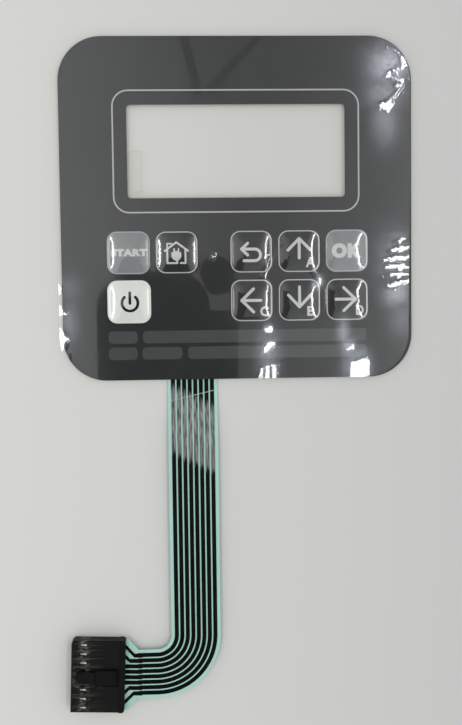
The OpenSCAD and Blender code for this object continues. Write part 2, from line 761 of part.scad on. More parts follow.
release_liner();
rear_adhesive();
circuit_film();
conductor_tracks();
dome_spacer();
snap_dome([column_x[0], upper_y]);  // dome_start
snap_dome([column_x[1], upper_y]);  // dome_home
snap_dome([column_x[2], upper_y]);  // dome_back
snap_dome([column_x[3], upper_y]);  // dome_up
snap_dome([column_x[4], upper_y]);  // dome_ok
snap_dome([column_x[0], lower_y]);  // dome_power
snap_dome([column_x[2], lower_y]);  // dome_left
snap_dome([column_x[3], lower_y]);  // dome_down
snap_dome([column_x[4], lower_y]);  // dome_right
dome_retainer();
overlay_adhesive();
ink_layer();
graphic_overlay();
protective_film();
connector_housing();
rear_retainer();
contact(1);  // contact_1
contact(2);  // contact_2
contact(3);  // contact_3
contact(4);  // contact_4
contact(5);  // contact_5
contact(6);  // contact_6
contact(7);  // contact_7
contact(8);  // contact_8
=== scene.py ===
"""Looks of a membrane keypad: a printed overlay with embossed keys under its loose
protective film, a flat film tail with eight printed tracks, and a latching receptacle.

The pieces are modelled in millimetres, and each is brought to metres as it is finished.
"""

import json
import math

import bmesh
import bpy
import numpy as np
from mathutils import Matrix, Vector

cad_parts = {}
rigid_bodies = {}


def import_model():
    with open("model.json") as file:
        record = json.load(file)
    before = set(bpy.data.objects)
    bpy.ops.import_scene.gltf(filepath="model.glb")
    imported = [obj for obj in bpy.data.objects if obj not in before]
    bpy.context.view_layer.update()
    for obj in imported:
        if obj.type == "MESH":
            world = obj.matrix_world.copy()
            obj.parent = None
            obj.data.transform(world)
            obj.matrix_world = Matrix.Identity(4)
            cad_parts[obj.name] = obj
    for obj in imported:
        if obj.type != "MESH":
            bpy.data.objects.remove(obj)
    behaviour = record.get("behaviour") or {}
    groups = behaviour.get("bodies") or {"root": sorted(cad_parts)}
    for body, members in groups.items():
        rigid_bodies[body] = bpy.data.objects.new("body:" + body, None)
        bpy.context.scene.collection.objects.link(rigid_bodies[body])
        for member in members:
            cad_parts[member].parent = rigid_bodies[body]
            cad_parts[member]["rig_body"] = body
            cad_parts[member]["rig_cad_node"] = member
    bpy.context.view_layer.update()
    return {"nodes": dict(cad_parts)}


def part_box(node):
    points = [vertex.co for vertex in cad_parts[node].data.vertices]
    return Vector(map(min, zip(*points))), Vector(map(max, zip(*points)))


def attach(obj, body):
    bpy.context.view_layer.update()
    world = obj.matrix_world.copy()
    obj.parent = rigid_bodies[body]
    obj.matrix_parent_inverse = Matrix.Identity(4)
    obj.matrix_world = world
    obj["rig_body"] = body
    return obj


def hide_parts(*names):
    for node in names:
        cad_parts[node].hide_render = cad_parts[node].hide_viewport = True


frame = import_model()
nodes = frame["nodes"]

MM = 0.001

# Sizes of the panel, in millimetres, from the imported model
PANEL_LOW, PANEL_HIGH = (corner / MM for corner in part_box("graphic_overlay"))
PANEL_W = PANEL_HIGH.x - PANEL_LOW.x
PANEL_H = PANEL_HIGH.y - PANEL_LOW.y
PANEL_R = 12.0
KEY_RISE = 0.45
OVERLAY_T = 0.2
INK_LAYER_T = 0.03
FRONT = PANEL_HIGH.z - KEY_RISE
PANEL_BACK = PANEL_LOW.z - INK_LAYER_T

# The display window and the line printed round it
WINDOW_MIDDLE = (0.0, 15.8)
WINDOW_SIZE = (60.0, 25.4)
WINDOW_R = 1.0
FRAME_LINE_MIDDLE = (0.0, 15.8)
FRAME_LINE_SIZE = (68.1, 33.6)
FRAME_LINE_R = 4.5
LINE_W = 0.4

# The faint outline of a clear tab in the window's lower left corner
TAB_MIDDLE = (-27.6, 10.4)
TAB_SIZE = (3.2, 11.3)

# Middles of the keys
COLUMNS = (-30.1, -16.8, 3.8, 17.1, 30.4)
UPPER_ROW = -11.8
LOWER_ROW = -25.3
KEY_FOOT = 10.6
KEY_OUTLINE = 11.45
KEY_R = 2.75
KEYS = {
    "start": (COLUMNS[0], UPPER_ROW),
    "home": (COLUMNS[1], UPPER_ROW),
    "back": (COLUMNS[2], UPPER_ROW),
    "up": (COLUMNS[3], UPPER_ROW),
    "ok": (COLUMNS[4], UPPER_ROW),
    "power": (COLUMNS[0], LOWER_ROW),
    "left": (COLUMNS[2], LOWER_ROW),
    "down": (COLUMNS[3], LOWER_ROW),
    "right": (COLUMNS[4], LOWER_ROW),
}

# Thickness of what is drawn as ink, coarser than real ink so that it stands clear, and how
# far its body reaches down into the film
INK_T = 0.012
INK_ROOT = 0.05

# Two rows of plain bars below the keys: middle height, then left and right ends
BAR_H = 3.45
BAR_R = 1.2
BAR_ROWS = (
    (-35.1, ((-36.0, -27.9), (-26.5, 35.9))),
    (-39.6, ((-36.0, -28.0), (-26.7, -15.6), (-14.1, 35.9))),
)

# The painted reflection on the tracks lies where the tail slants down from the panel, between
# two lines measured along y + x / 2. Both ends fade, and each track draws them out into a tooth
SLANT_LOW = (-76.6, -75.2)
SLANT_HIGH = (-58.6, -56.8)
TRACK_PITCH = 1.55
TOOTH = 1.6
# The crease across the tail's root, along which the tracks carry a painted glint: its rise
# along x, and its height at x = 0
TAIL_CREASE = (0.226, -48.6)

# The sunk bed of the receptacle's latch: middle and size, and how far it is turned. The
# inspection windows lie in a column, off its middle
BED_MIDDLE = (-41.0, -129.6)
BED_SIZE = (12.2, 5.4)
BED_TURN = math.radians(-2.2)
INSPECTION_X = -3.5


def linear(hex_colour):
    """A colour written as sRGB hex, as Blender's linear RGBA."""
    parts = [int(hex_colour[i : i + 2], 16) / 255 for i in (1, 3, 5)]
    return [c / 12.92 if c <= 0.04045 else ((c + 0.055) / 1.055) ** 2.4 for c in parts] + [1]


def add(material, kind, inputs=None, **settings):
    """Adds one node to a material, with its settings, values and links."""
    node = material.node_tree.nodes.new(kind)
    for key, value in settings.items():
        setattr(node, key, value)
    for key, value in (inputs or {}).items():
        socket = node.inputs[key]
        if isinstance(value, bpy.types.NodeSocket):
            material.node_tree.links.new(value, socket)
        else:
            socket.default_value = value
    return node


def blank(name):
    """A material with only its output node."""
    material = bpy.data.materials.new(name)
    material.use_nodes = True
    material.node_tree.nodes.clear()
    return material


def finish_material(material, shader):
    """Links a shader to the material's output."""
    add(material, "ShaderNodeOutputMaterial", {"Surface": shader})
    return material


def noise_at(material, period_mm, detail=2.0, stretch=(1, 1, 1)):
    """Noise on Object coordinates whose swells are about period_mm long."""
    place = add(material, "ShaderNodeTexCoord").outputs["Object"]
    mapped = add(material, "ShaderNodeMapping", {"Vector": place, "Scale": stretch})
    scale = 1 / (period_mm * MM)
    inputs = {"Vector": mapped.outputs[0], "Scale": scale, "Detail": detail}
    return add(material, "ShaderNodeTexNoise", inputs).outputs["Fac"]


def spread(material, factor, low, high, to_low, to_high):
    """The factor, with one range stretched to another and held at its ends."""
    inputs = {"Value": factor, "From Min": low, "From Max": high, "To Min": to_low, "To Max": to_high}
    return add(material, "ShaderNodeMapRange", inputs).outputs["Result"]


def two_tone(material, factor, first, second):
    """A colour between two sRGB colours."""
    mix = add(material, "ShaderNodeMix", {"Factor": factor}, data_type="RGBA")
    ends = [socket for socket in mix.inputs if socket.type == "RGBA"]
    for socket, colour in zip(ends, (first, second)):
        socket.default_value = linear(colour)
    return next(socket for socket in mix.outputs if socket.type == "RGBA")


def bump(material, height, strength, distance_mm):
    """A bump whose full height is distance_mm."""
    inputs = {"Height": height, "Strength": strength, "Distance": distance_mm * MM}
    return add(material, "ShaderNodeBump", inputs).outputs["Normal"]


def reverse_print(name, colour, darker, roughness=0.12):
    """Screen ink behind a hard-coated polyester film: an even colour under a smooth,
    glossy front that shows a faint orange peel."""
    material = blank(name)
    tone = spread(material, noise_at(material, 6.0, 4.0), 0.35, 0.65, 0.0, 1.0)
    peel = noise_at(material, 1.5, 1.0)
    inputs = {
        "Base Color": two_tone(material, tone, colour, darker),
        "Roughness": roughness,
        "IOR": 1.5,
        "Normal": bump(material, peel, 0.03, 0.0015),
    }
    return finish_material(material, add(material, "ShaderNodeBsdfPrincipled", inputs).outputs[0])


def maths(material, operation, *values):
    """One sum, product or the like of sockets and numbers."""
    inputs = dict(enumerate(values))
    return add(material, "ShaderNodeMath", inputs, operation=operation).outputs[0]


def axes(material, place=None):
    """The X, Y and Z of a place, or of the Object coordinates, in metres."""
    if place is None:
        place = add(material, "ShaderNodeTexCoord").outputs["Object"]
    return add(material, "ShaderNodeSeparateXYZ", {0: place}).outputs


def mirror(material, roughness, normal, tint=(1, 1, 1, 1)):
    """The part of the light that a clear film turns back."""
    inputs = {
        "Base Color": tint,
        "Metallic": 1.0,
        "Roughness": roughness,
        "Normal": normal,
    }
    return add(material, "ShaderNodeBsdfPrincipled", inputs).outputs[0]


def clear_film(name, scratch, haze, crinkled=False, open_faces=1.0):
    """Clear plastic film, cast smooth: what isn't reflected goes straight through. Handling
    leaves fine scratches, and crinkled patches turn back more light, scattered. A face
    that another film wets turns back hardly any, so open_faces is the share that is left."""
    material = blank(name)
    scratches = noise_at(material, 0.5, 2.0, (1, 0.05, 1))
    normal = bump(material, scratches, scratch, 0.002)
    wear = noise_at(material, 9.0, 4.0)
    roughness = spread(material, wear, 0.4, 0.7, 0.02, haze)
    if crinkled:
        tucked = add(material, "ShaderNodeAttribute", attribute_name="tucked").outputs["Fac"]
        roughness = maths(material, "MULTIPLY_ADD", tucked, 0.25, roughness)
    gloss = mirror(material, roughness, normal)
    # Schlick's curve for plastic of index 1.5, the same from both sides of each face
    facing = add(material, "ShaderNodeLayerWeight", {"Blend": 0.5, "Normal": normal}).outputs["Facing"]
    turned_back = maths(material, "MULTIPLY_ADD", maths(material, "POWER", facing, 5.0), 0.96, 0.04)
    turned_back = maths(material, "MULTIPLY", turned_back, open_faces)
    if crinkled:
        patches = add(material, "ShaderNodeAttribute", attribute_name="crinkled").outputs["Fac"]
        crinkles = noise_at(material, 0.33, 2.0)
        amount = maths(material, "MULTIPLY", patches, spread(material, crinkles, 0.35, 0.65, 0.2, 2.1))
        more = maths(material, "ADD", amount, 1.0)
        soft = mirror(material, 0.28, bump(material, crinkles, 1.0, 0.025), (0.84, 0.88, 1.0, 1))
        share = maths(material, "DIVIDE", amount, more)
        gloss = add(material, "ShaderNodeMixShader", {0: share, 1: gloss, 2: soft}).outputs[0]
        turned_back = maths(material, "MULTIPLY", turned_back, more)
    through = add(material, "ShaderNodeBsdfTransparent", {"Color": (1, 1, 0.995, 1)}).outputs[0]
    mix = add(material, "ShaderNodeMixShader", {0: turned_back, 1: through, 2: gloss})
    return finish_material(material, mix.outputs[0])


def painted_reflection_band(material):
    """1 on the slanted stretch of the tail that bends down from the panel, where the tracks
    carry a painted reflection, 0 beyond it, with a tooth to each track at both ends."""
    parts = axes(material)
    slanted = maths(material, "MULTIPLY_ADD", parts["X"], 0.5, parts["Y"])
    tooth = maths(material, "FRACT", maths(material, "DIVIDE", parts["X"], TRACK_PITCH * MM))
    slanted = maths(material, "MULTIPLY_ADD", tooth, TOOTH * MM, slanted)
    below = spread(material, slanted, SLANT_LOW[0] * MM, SLANT_LOW[1] * MM, 0.0, 1.0)
    above = spread(material, slanted, SLANT_HIGH[0] * MM, SLANT_HIGH[1] * MM, 1.0, 0.0)
    return maths(material, "MULTIPLY", below, above)


def circuit_polyester(name):
    """Mint tinted polyester film, heat stabilised and glossy, with faint flow lines."""
    material = blank(name)
    streaks = noise_at(material, 1.2, 2.0, (1, 0.1, 1))
    tone = spread(material, streaks, 0.3, 0.7, 0.0, 1.0)
    inputs = {
        "Base Color": two_tone(material, tone, "#b1dccf", "#a9d4c7"),
        "Roughness": 0.18,
        "IOR": 1.64,
        "Normal": bump(material, streaks, 0.35, 0.004),
    }
    return finish_material(material, add(material, "ShaderNodeBsdfPrincipled", inputs).outputs[0])


def carbon_ink(name):
    """Screen-printed carbon paste: a dense, nearly matt black with a faint grain from the
    mesh. Where the tail bends down from the panel the tracks carry a painted reflection,
    mixed in as fine streaks of white mirror, and a painted glint runs along one crease across it."""
    material = blank(name)
    grain = noise_at(material, 0.12, 1.0)
    streaks = noise_at(material, 0.5, 2.0, (1, 0.06, 1))
    normal = bump(material, streaks, 0.5, 0.005)
    inputs = {
        "Base Color": two_tone(material, grain, "#020303", "#060707"),
        "Roughness": spread(material, streaks, 0.3, 0.7, 0.25, 0.4),
        "Specular IOR Level": 0.12,
        "Normal": normal,
    }
    dull = add(material, "ShaderNodeBsdfPrincipled", inputs).outputs[0]
    # Painted reflection: on the stretch by the panel, fine streaks of the ink are mixed with a white mirror
    reflection_streaks = spread(material, noise_at(material, 0.3, 3.0, (1, 0.025, 1)), 0.32, 0.7, 0.04, 0.5)
    share = maths(material, "MULTIPLY", painted_reflection_band(material), reflection_streaks)
    # Painted glint: a thin line along the crease across the tail's root is half white mirror
    parts = axes(material)
    crossing = maths(material, "MULTIPLY_ADD", parts["X"], -TAIL_CREASE[0], parts["Y"])
    off_crease = maths(material, "ABSOLUTE", maths(material, "SUBTRACT", crossing, TAIL_CREASE[1] * MM))
    share = maths(material, "MAXIMUM", share, spread(material, off_crease, 0.00005, 0.00018, 0.5, 0.0))
    mix = add(material, "ShaderNodeMixShader", {0: share, 1: dull, 2: mirror(material, 0.3, normal)})
    return finish_material(material, mix.outputs[0])


def moulded_nylon(name, colour, scuffs_and_highlight):
    """Black glass-filled nylon, injection moulded: satin, rubbed grey between the inspection
    windows, scratched along X, and a painted highlight along the latch bed's edge, brightest at its closed
    end."""
    material = blank(name)
    grain = noise_at(material, 0.25, 2.0)
    rub = noise_at(material, 0.9, 6.0, (0.6, 1, 1))
    lines = noise_at(material, 0.4, 2.0, (0.04, 1, 1))
    place = add(material, "ShaderNodeTexCoord").outputs["Object"]
    inputs = {"Vector": place, "Location": (*[v * MM for v in BED_MIDDLE], 0), "Rotation": (0, 0, BED_TURN)}
    turned = add(material, "ShaderNodeMapping", inputs, vector_type="TEXTURE").outputs[0]
    parts = axes(material, turned)
    from_windows = maths(material, "ABSOLUTE", maths(material, "SUBTRACT", parts["X"], INSPECTION_X * MM))
    near = spread(material, from_windows, 0.0006, 0.002, scuffs_and_highlight, 0.0)
    marks = maths(material, "MULTIPLY", spread(material, rub, 0.44, 0.66, 0.0, 1.0), near)
    wide = spread(material, from_windows, 0.002, 0.0065, 0.5 * scuffs_and_highlight, 0.0)
    scratched = maths(material, "MULTIPLY", spread(material, lines, 0.54, 0.7, 0.0, 1.0), wide)
    # Painted highlight: a light line along the edge of the latch's sunk bed, strongest at its closed end
    # and gone towards its open end
    across = maths(material, "SUBTRACT", maths(material, "ABSOLUTE", parts["X"]), BED_SIZE[0] / 2 * MM)
    up = maths(material, "SUBTRACT", maths(material, "ABSOLUTE", parts["Y"]), BED_SIZE[1] / 2 * MM)
    edge = maths(material, "ABSOLUTE", maths(material, "MAXIMUM", across, up))
    bed_edge_highlight = spread(material, edge, 0.0001, 0.0005, scuffs_and_highlight, 0.0)
    bed_edge_highlight = maths(material, "MULTIPLY", bed_edge_highlight, spread(material, parts["X"], -0.004, 0.003, 1.0, 0.0))
    painted_rim_highlight = maths(material, "MULTIPLY", spread(material, rub, 0.4, 0.65, 0.0, 0.8), bed_edge_highlight)
    # The scuff marks and scratches, and the painted highlight along the bed's edge, all lighten the nylon
    wear = maths(material, "MAXIMUM", maths(material, "MAXIMUM", marks, scratched), painted_rim_highlight)
    inputs = {
        "Base Color": two_tone(material, wear, colour, "#74706b"),
        "Roughness": spread(material, rub, 0.3, 0.7, 0.42, 0.6),
        "IOR": 1.53,
        "Specular IOR Level": 0.12,
        "Normal": bump(material, grain, 0.35, 0.01),
    }
    return finish_material(material, add(material, "ShaderNodeBsdfPrincipled", inputs).outputs[0])


def plain_finish(name, colour, darker, roughness, period_mm, depth_mm, metallic=0.0):
    """A plain sheet or plated part: two close tones, and a bump at the size of its grain."""
    material = blank(name)
    grain = noise_at(material, period_mm, 3.0)
    inputs = {
        "Base Color": two_tone(material, grain, colour, darker),
        "Roughness": roughness,
        "Metallic": metallic,
        "Normal": bump(material, grain, 0.4, depth_mm),
    }
    return finish_material(material, add(material, "ShaderNodeBsdfPrincipled", inputs).outputs[0])


# The finishes
dark_print = reverse_print("dark_print", "#2b2c2d", "#2e2f30")
grey_print = reverse_print("grey_print", "#848789", "#818486")
rim_print = reverse_print("rim_print", "#a3a5a4", "#9fa1a0")
white_print = reverse_print("white_print", "#dddfda", "#d9dbd6")
pale_print = reverse_print("pale_print", "#c8c9c6", "#c2c3c0")
line_print = reverse_print("line_print", "#b6b7b4", "#b0b1ae")
bar_print = reverse_print("bar_print", "#4b4c4d", "#48494a")
tab_edge = reverse_print("tab_edge", "#c2c3bd", "#bfc0ba")
symbol_black = reverse_print("symbol_black", "#1b1c1d", "#1e1f20")
protective = clear_film("protective_polyethylene", 0.12, 0.06, True)
clear_polyester = clear_film("clear_polyester", 0.05, 0.06, open_faces=0.2)
clear_adhesive = clear_film("clear_adhesive", 0.2, 0.2)
mint_film = circuit_polyester("mint_polyester")
track_ink = carbon_ink("carbon_track_ink")
housing_nylon = moulded_nylon("housing_nylon", "#0f0e0e", 0.75)
retainer_nylon = moulded_nylon("retainer_nylon", "#070707", 0.0)
# Matt tin plate over stamped phosphor bronze, faintly grained, painted nearly white, lighter
# than tin, as painted light for the contacts that sit in shade down the inspection windows
tin_plate_lightened = plain_finish("tin_plate_lightened", "#fbf9f3", "#efece4", 0.5, 0.08, 0.002, 0.35)
# Stainless snap dome, coined bright
dome_steel = plain_finish("dome_steel", "#c9ccd0", "#bcbfc3", 0.25, 0.3, 0.002, 1.0)
# Siliconised release paper: off-white, soft sheen, paper fibre about half a millimetre long
release_paper = plain_finish("release_paper", "#e6e3d9", "#dcd9cf", 0.5, 0.5, 0.012)
# Acrylic transfer tape, milky at its cut edge
transfer_tape = plain_finish("transfer_tape", "#d4d4cd", "#cacac3", 0.45, 0.8, 0.01)
# Polyester spacer and retainer films, hazy at their cut edges
spacer_film = plain_finish("spacer_polyester", "#c3cbc7", "#b8c0bc", 0.35, 0.8, 0.005)


def alone(piece):
    """Makes one object the only one selected, and the active one."""
    bpy.ops.object.select_all(action="DESELECT")
    piece.select_set(True)
    bpy.context.view_layer.objects.active = piece


def pick(kind, wanted):
    """In edit mode, selects the faces or edges whose middle and direction pass a test."""
    shape = bmesh.from_edit_mesh(bpy.context.object.data)
    bpy.ops.mesh.select_mode(type=kind)
    bpy.ops.mesh.select_all(action="DESELECT")
    if kind == "FACE":
        shape.normal_update()
        chosen = [f for f in shape.faces if wanted(f.calc_center_median(), f.normal)]
    else:
        ends = [(e, e.verts[0].co, e.verts[1].co) for e in shape.edges]
        chosen = [e for e, a, b in ends if wanted((a + b) / 2, (b - a).normalized())]
    for part in chosen:
        part.select_set(True)
    bmesh.update_edit_mesh(bpy.context.object.data)


def apply_modifier(piece, kind, **settings):
    """Adds one modifier to a piece and applies it."""
    alone(piece)
    modifier = piece.modifiers.new(kind.lower(), kind)
    for key, value in settings.items():
        setattr(modifier, key, value)
    bpy.ops.object.modifier_apply(modifier=modifier.name)
    return piece


def cut_or_join(piece, other, operation):
    """Cuts another shape out of a piece, or joins it on, and removes the other."""
    apply_modifier(piece, "BOOLEAN", object=other, operation=operation, solver="EXACT")
    bpy.data.objects.remove(other)
    return piece


def slab(name, middle, size, low, high, radius, steps=8, turn=0.0):
    """A plate with round corners."""
    bpy.ops.object.select_all(action="DESELECT")
    bpy.ops.mesh.primitive_cube_add(size=1, location=(middle[0], middle[1], (low + high) / 2))
    piece = bpy.context.object
    piece.name = name
    piece.scale = (size[0], size[1], high - low)
    bpy.ops.object.transform_apply(location=False, rotation=False, scale=True)
    bpy.ops.object.mode_set(mode="EDIT")
    pick("EDGE", lambda middle, way: abs(way.z) > 0.99)
    bpy.ops.mesh.bevel(offset=radius, segments=steps, affect="EDGES")
    bpy.ops.object.mode_set(mode="OBJECT")
    piece.rotation_euler.z = turn
    bpy.ops.object.transform_apply(location=True, rotation=True, scale=True)
    return piece


def finish_piece(piece, materials, replaced=(), angle=40):
    """Brings a piece to metres, gives it its materials, and hangs it on the body."""
    alone(piece)
    piece.scale = (MM, MM, MM)
    bpy.ops.object.transform_apply(location=True, rotation=True, scale=True)
    bpy.ops.object.shade_smooth_by_angle(angle=math.radians(angle))
    piece.data.name = piece.name
    if materials:
        piece.data.materials.clear()
        for material in materials:
            piece.data.materials.append(material)
    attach(piece, "root")
    if replaced:
        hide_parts(*replaced)
    return piece


def moved_copy(piece, name, middle):
    """A copy of a piece with its own mesh, moved in the plane."""
    copy = piece.copy()
    copy.data = piece.data.copy()
    copy.name = name
    bpy.context.scene.collection.objects.link(copy)
    alone(copy)
    copy.location = (middle[0], middle[1], 0)
    bpy.ops.object.transform_apply(location=True, rotation=True, scale=True)
    return copy


def overlay_skin():
    """The printed film: a plate with the window cut out of its print."""
    skin = slab("overlay_skin", (0, 0), (PANEL_W, PANEL_H), PANEL_BACK, FRONT, PANEL_R, 24)
    opening = slab("opening", WINDOW_MIDDLE, WINDOW_SIZE, PANEL_BACK - 1, FRONT + 1, WINDOW_R, 6)
    cut_or_join(skin, opening, "DIFFERENCE")
    apply_modifier(skin, "BEVEL", width=0.03, segments=2, limit_method="ANGLE")
    return finish_piece(skin, [dark_print], ["graphic_overlay", "ink_layer"], angle=20)


def window_pane():
    """The clear part of the same film, over the display."""
    pane = slab("window_pane", WINDOW_MIDDLE, WINDOW_SIZE, FRONT - OVERLAY_T, FRONT, WINDOW_R, 6)
    pane.visible_shadow = False
    pane.visible_diffuse = False
    return finish_piece(pane, [clear_polyester], ["graphic_overlay"])


def line_loop(name, middle, size, radius, width):
    """A printed line that closes on itself."""
    loop = slab(name, middle, size, FRONT - INK_ROOT, FRONT + INK_T, radius, 16)
    inner = (size[0] - 2 * width, size[1] - 2 * width)
    hole = slab("hole", middle, inner, FRONT - 1, FRONT + 1, radius - width, 16)
    return cut_or_join(loop, hole, "DIFFERENCE")


def printed_bars():
    """Two rows of plain bars in a lighter ink."""
    bars = []
    for height, ends in BAR_ROWS:
        for left, right in ends:
            middle, size = ((left + right) / 2, height), (right - left, BAR_H)
            bars.append(slab("bar", middle, size, FRONT - INK_ROOT, FRONT + INK_T, BAR_R, 8))
    alone(bars[0])
    for bar in bars[1:]:
        bar.select_set(True)
    bpy.ops.object.join()
    bars[0].name = "printed_bars"
    return finish_piece(bars[0], [bar_print])


# The dome of an embossed key: its rings, each as a share of the foot's size, and how
# square its rise is
PAD_RINGS = (0.985, 0.96, 0.93, 0.89, 0.84, 0.78, 0.7, 0.6, 0.48, 0.34, 0.18)
PAD_RISE = 0.43
PAD_POWER = 2.8
KEY_LINE_W = 0.28


def key_pad(name, size, ink, line):
    """An embossed key with its printed outline: the film rises from a flat foot to a
    pillow that is nearly flat in its middle."""
    margin = (min(size) - KEY_FOOT) / 2 - KEY_LINE_W
    pad = slab(name, (0, 0), size, FRONT - 0.1, FRONT + INK_T, KEY_R, 12)
    bpy.ops.object.mode_set(mode="EDIT")
    pick("FACE", lambda middle, normal: normal.z > 0.99)
    for inwards in (KEY_LINE_W, margin):
        bpy.ops.mesh.inset(thickness=inwards, depth=0, use_even_offset=True)
    last, height = 1.0, 0.0
    for share in PAD_RINGS:
        rise = PAD_RISE * (1 - share**PAD_POWER) - height
        bpy.ops.mesh.extrude_region_move(TRANSFORM_OT_translate={"value": (0, 0, rise)})
        smaller = share / last
        bpy.ops.transform.resize(value=(smaller, smaller, 1), center_override=(0, 0, 0))
        last, height = share, height + rise
    bpy.ops.object.mode_set(mode="OBJECT")
    pad.data.materials.append(ink)
    pad.data.materials.append(line)
    half = (size[0] / 2 - KEY_LINE_W, size[1] / 2 - KEY_LINE_W)
    for face in pad.data.polygons:
        ring = rounded_distance(face.center.x, face.center.y, half, KEY_R - KEY_LINE_W) > -1e-3
        face.material_index = int(ring and face.normal.z > 0.9)
    return pad


def rounded_distance(x, y, half, radius):
    """Distance from the edge of a rectangle with round corners, negative inside it."""
    across = np.abs(x) - half[0] + radius
    up = np.abs(y) - half[1] + radius
    outside = np.hypot(np.maximum(across, 0), np.maximum(up, 0))
    return outside + np.minimum(np.maximum(across, up), 0) - radius


def all_pads():
    """The nine embossed keys."""
    special = {
        "start": ((11.8, 11.7), grey_print, rim_print),
        "ok": ((11.6, 11.6), grey_print, rim_print),
        "power": ((12.0, 11.8), white_print, white_print),
    }
    dark = key_pad("pad_template", (KEY_OUTLINE, KEY_OUTLINE), dark_print, line_print)
    pads = {}
    for key, place in KEYS.items():
        made = key_pad("made_pad", *special[key]) if key in special else dark
        pads[key] = moved_copy(made, f"pad_{key}", place)
        if key in special:
            bpy.data.objects.remove(made)
    bpy.data.objects.remove(dark)
    return pads


def ruled(piece, spacing):
    """Cuts a flat print along a grid of lines, so that it can follow a domed pad."""
    alone(piece)
    corners = [Vector(c) for c in piece.bound_box]
    low = Vector(map(min, *corners))
    high = Vector(map(max, *corners))
    bpy.ops.object.mode_set(mode="EDIT")
    for axis in (0, 1):
        normal = Vector((1 - axis, axis, 0))
        for index in range(1, math.ceil((high[axis] - low[axis]) / spacing)):
            bpy.ops.mesh.select_all(action="SELECT")
            place = low + normal * (index * spacing)
            bpy.ops.mesh.bisect(plane_co=place, plane_no=normal)
    bpy.ops.object.mode_set(mode="OBJECT")


def lay_on(print_piece, pad):
    """Drops each point of a flat print onto the pad under it, and keeps the ink's thickness."""
    ruled(print_piece, 0.5)
    for vertex in print_piece.data.vertices:
        top = Vector((vertex.co.x, vertex.co.y, FRONT + 5))
        hit, place, _, _ = pad.ray_cast(top, Vector((0, 0, -1)))
        ground = place.z if hit else FRONT
        vertex.co.z += ground


def joined(strokes, name):
    """One flat print from strokes that run into each other."""
    first = strokes[0]
    for other in strokes[1:]:
        cut_or_join(first, other, "UNION")
    first.name = name
    return first


def stroke(start, end, width):
    """A straight stroke with round ends."""
    a, b = Vector(start), Vector(end)
    size = ((b - a).length + width, width)
    turn = math.atan2(b.y - a.y, b.x - a.x)
    return slab("stroke", (a + b) / 2, size, -INK_T, INK_T, width * 0.499, 6, turn)


def bow(middle, radius, start_deg, end_deg, width, steps=28):
    """A stroke along an arc: a small upright rectangle spun round the arc's middle."""
    bpy.ops.object.select_all(action="DESELECT")
    bpy.ops.mesh.primitive_plane_add(size=1, rotation=(math.pi / 2, 0, 0))
    piece = bpy.context.object
    piece.scale = (width, 2 * INK_T, 1)
    piece.location = (radius, 0, 0)
    bpy.ops.object.transform_apply(location=True, rotation=True, scale=True)
    piece.rotation_euler.z = math.radians(start_deg)
    bpy.ops.object.transform_apply(location=True, rotation=True, scale=True)
    bpy.ops.object.mode_set(mode="EDIT")
    bpy.ops.mesh.select_all(action="SELECT")
    angle = math.radians(end_deg - start_deg)
    bpy.ops.mesh.spin(steps=steps, angle=-angle, center=(0, 0, 0), axis=(0, 0, 1))
    bpy.ops.mesh.select_all(action="SELECT")
    bpy.ops.mesh.remove_doubles(threshold=1e-4)
    bpy.ops.mesh.normals_make_consistent(inside=False)
    bpy.ops.object.mode_set(mode="OBJECT")
    piece.location = (middle[0], middle[1], 0)
    bpy.ops.object.transform_apply(location=True, rotation=True, scale=True)
    return piece


def dot(middle, radius):
    """A round patch of ink."""
    return slab("dot", middle, (2 * radius, 2 * radius), -INK_T, INK_T, radius * 0.999, 8)


ARROW_W = 0.8


# Straight arrows: tip, end of the stem, and the far ends of the head's two strokes
ARROWS = {
    "up": ((0, 3.45), (0, -1.9), ((-3.1, 0.3), (3.1, 0.3))),
    "down": ((0, -1.95), (0, 3.6), ((-3.1, 1.35), (3.1, 1.35))),
    "left": ((-2.8, 0), (2.5, 0), ((0.5, -3.2), (0.5, 3.2))),
    "right": ((2.3, 0.05), (-3.1, 0.05), ((-0.95, -3.15), (-0.95, 3.25))),
}


def arrow(way):
    """A straight arrow."""
    tip, stem_end, head_ends = ARROWS[way]
    parts = [stroke(tip, end, ARROW_W) for end in (stem_end, *head_ends)]
    return joined(parts, f"arrow_{way}")


def arrow_back():
    """An arrow that turns back on itself."""
    top, bottom, bend_x, tip_x = 0.68, -2.52, 0.95, -2.7
    parts = [
        stroke((tip_x, top), (bend_x, top), ARROW_W),
        stroke((tip_x, top), (-1.0, 2.3), ARROW_W),
        stroke((tip_x, top), (-1.0, -0.95), ARROW_W),
        bow((bend_x, (top + bottom) / 2), (top - bottom) / 2, -90, 90, ARROW_W),
        stroke((-2.05, bottom), (bend_x, bottom), ARROW_W),
    ]
    return joined(parts, "arrow_back")


def power_symbol():
    """An open ring with a bar in its gap."""
    middle, radius, width, gap_deg = (0.2, -0.3), 2.2, 0.78, 43
    ends = [math.radians(90 + side * gap_deg) for side in (-1, 1)]
    places = [(middle[0] + radius * math.cos(a), middle[1] + radius * math.sin(a)) for a in ends]
    parts = [bow(middle, radius, 90 + gap_deg, 450 - gap_deg, width, 48)]
    parts += [dot(place, width / 2) for place in places]
    parts.append(stroke((0.2, 2.5), (0.2, -0.4), width))
    return joined(parts, "power_symbol")


